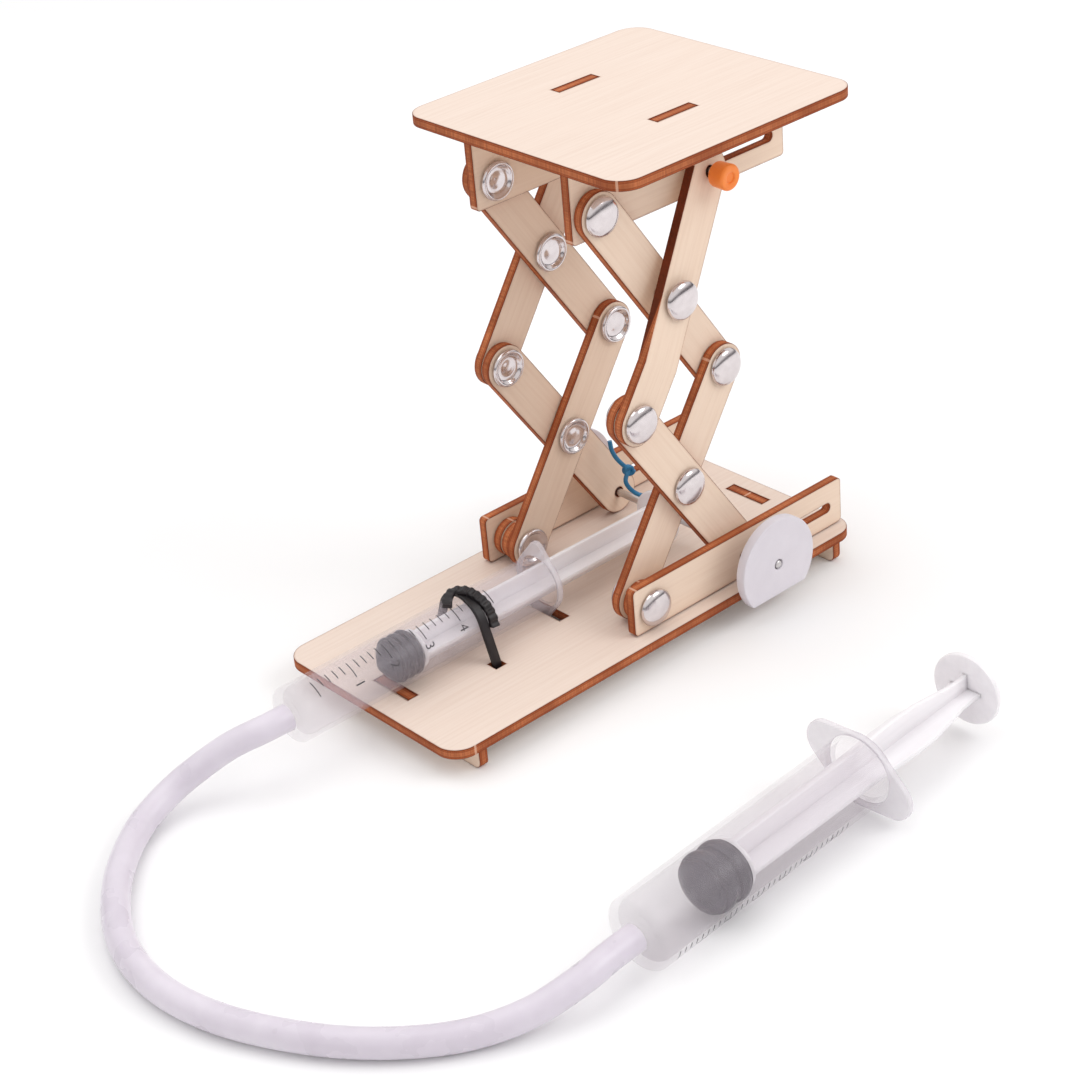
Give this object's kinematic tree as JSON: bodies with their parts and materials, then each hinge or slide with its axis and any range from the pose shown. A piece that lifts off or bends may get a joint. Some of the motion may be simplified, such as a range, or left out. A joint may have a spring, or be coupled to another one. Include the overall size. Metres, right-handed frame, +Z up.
{
  "type": "hydraulic scissor lift kit",
  "caption": "Laser-cut plywood scissor-lift table on a slotted base, raised and lowered by a small syringe piped to a larger hand syringe through a free hose.",
  "frame": {"origin": "centre of the footprint of everything but the hose, on the surface that the feet and the hand syringe lie on", "axes": "+X from the base syringe's front to the slotted rear of the base, +Z up, -Y towards the hand syringe"},
  "size_m": [0.2284, 0.1576, 0.1287],
  "materials": {
    "ply": "raw laser-cut birch plywood, burnt edges",
    "nickel": "bright nickel plate",
    "steel": "drawn steel rod",
    "clear_plastic": "translucent polypropylene",
    "white_plastic": "moulded, satin",
    "hose": "soft translucent tube",
    "black_rubber": "matt",
    "black_plastic": "moulded nylon",
    "orange_plastic": "moulded",
    "blue_plastic": "plastic-coated wire"
  },
  "bodies": {
    "base": {"base_plate": "ply", "front_foot": "ply", "rear_foot": "ply", "near_rail": "ply", "far_rail": "ply", "base_barrel": "clear_plastic", "zip_tie": "black_plastic", "hand_barrel": "clear_plastic", "hose": "hose"},
    "lower_fixed_arms": {"near_lower_fixed_arm": "ply", "far_lower_fixed_arm": "ply", "near_base_rivet": "nickel", "far_base_rivet": "nickel", "near_rear_elbow_rivet": "nickel", "far_rear_elbow_rivet": "nickel", "near_base_spacer_1": "ply", "far_base_spacer_1": "ply", "far_base_spacer_2": "ply"},
    "lower_sliding_arms": {"near_lower_sliding_arm": "ply", "far_lower_sliding_arm": "ply", "near_lower_middle_rivet": "nickel", "far_lower_middle_rivet": "nickel", "near_front_elbow_rivet": "nickel", "far_front_elbow_rivet": "nickel"},
    "upper_fixed_arms": {"near_upper_fixed_arm": "ply", "far_upper_fixed_arm": "ply"},
    "upper_sliding_arms": {"near_upper_sliding_arm": "ply", "far_upper_sliding_arm": "ply", "near_upper_middle_rivet": "nickel", "far_upper_middle_rivet": "nickel", "upper_axle": "steel", "near_axle_cap": "orange_plastic", "far_axle_cap": "orange_plastic"},
    "platform": {"platform_plate": "ply", "near_hanger": "ply", "far_hanger": "ply", "near_platform_rivet": "nickel", "far_platform_rivet": "nickel"},
    "lower_axle": {"lower_axle": "steel", "near_disc": "white_plastic", "far_disc": "white_plastic"},
    "base_plunger": {"base_plunger": "clear_plastic", "base_stopper": "black_rubber", "blue_tie": "blue_plastic"},
    "hand_plunger": {"hand_plunger": "clear_plastic", "hand_stopper": "black_rubber"}
  },
  "joints": [
    {"name": "lift_fold", "type": "hinge", "parent": "base", "child": "lower_fixed_arms", "pos_m": [0.01055, 0.04087, 0.01455], "axis": [0, 1, 0], "range_deg": [0, 31]},
    {"name": "lower_cross", "type": "hinge", "parent": "lower_fixed_arms", "child": "lower_sliding_arms", "pos_m": [0.02741, 0.04087, 0.03936], "axis": [0, 1, 0], "range_deg": [-62, 0]},
    {"name": "rear_elbow", "type": "hinge", "parent": "lower_fixed_arms", "child": "upper_fixed_arms", "pos_m": [0.04428, 0.04087, 0.06417], "axis": [0, 1, 0], "range_deg": [-62, 0]},
    {"name": "upper_cross", "type": "hinge", "parent": "upper_fixed_arms", "child": "upper_sliding_arms", "pos_m": [0.02741, 0.04087, 0.08899], "axis": [0, 1, 0], "range_deg": [0, 62]},
    {"name": "platform_level", "type": "hinge", "parent": "upper_fixed_arms", "child": "platform", "pos_m": [0.01055, 0.04087, 0.1138], "axis": [0, 1, 0], "range_deg": [0, 31]},
    {"name": "lower_axle_level", "type": "hinge", "parent": "lower_sliding_arms", "child": "lower_axle", "pos_m": [0.04428, 0.04087, 0.01455], "axis": [0, 1, 0], "range_deg": [0, 31]},
    {"name": "base_plunger_slide", "type": "slide", "parent": "base", "child": "base_plunger", "axis": [1, 0, 0], "range_m": [0, 0.0217]},
    {"name": "hand_plunger_slide", "type": "slide", "parent": "base", "child": "hand_plunger", "axis": [-0.999, -0.0384, -0.0244], "range_m": [0, 0.0145]}
  ],
  "couplings": [
    {"joint": "lower_cross", "follows": "lift_fold", "ratio": -2},
    {"joint": "rear_elbow", "follows": "lift_fold", "ratio": -2},
    {"joint": "upper_cross", "follows": "lift_fold", "ratio": 2},
    {"joint": "platform_level", "follows": "lift_fold", "ratio": 1},
    {"joint": "lower_axle_level", "follows": "lift_fold", "ratio": 1},
    {"joint": "base_plunger_slide", "follows": "lift_fold", "m_per_rad": 0.04},
    {"joint": "hand_plunger_slide", "follows": "lift_fold", "m_per_rad": 0.02646}
  ]
}
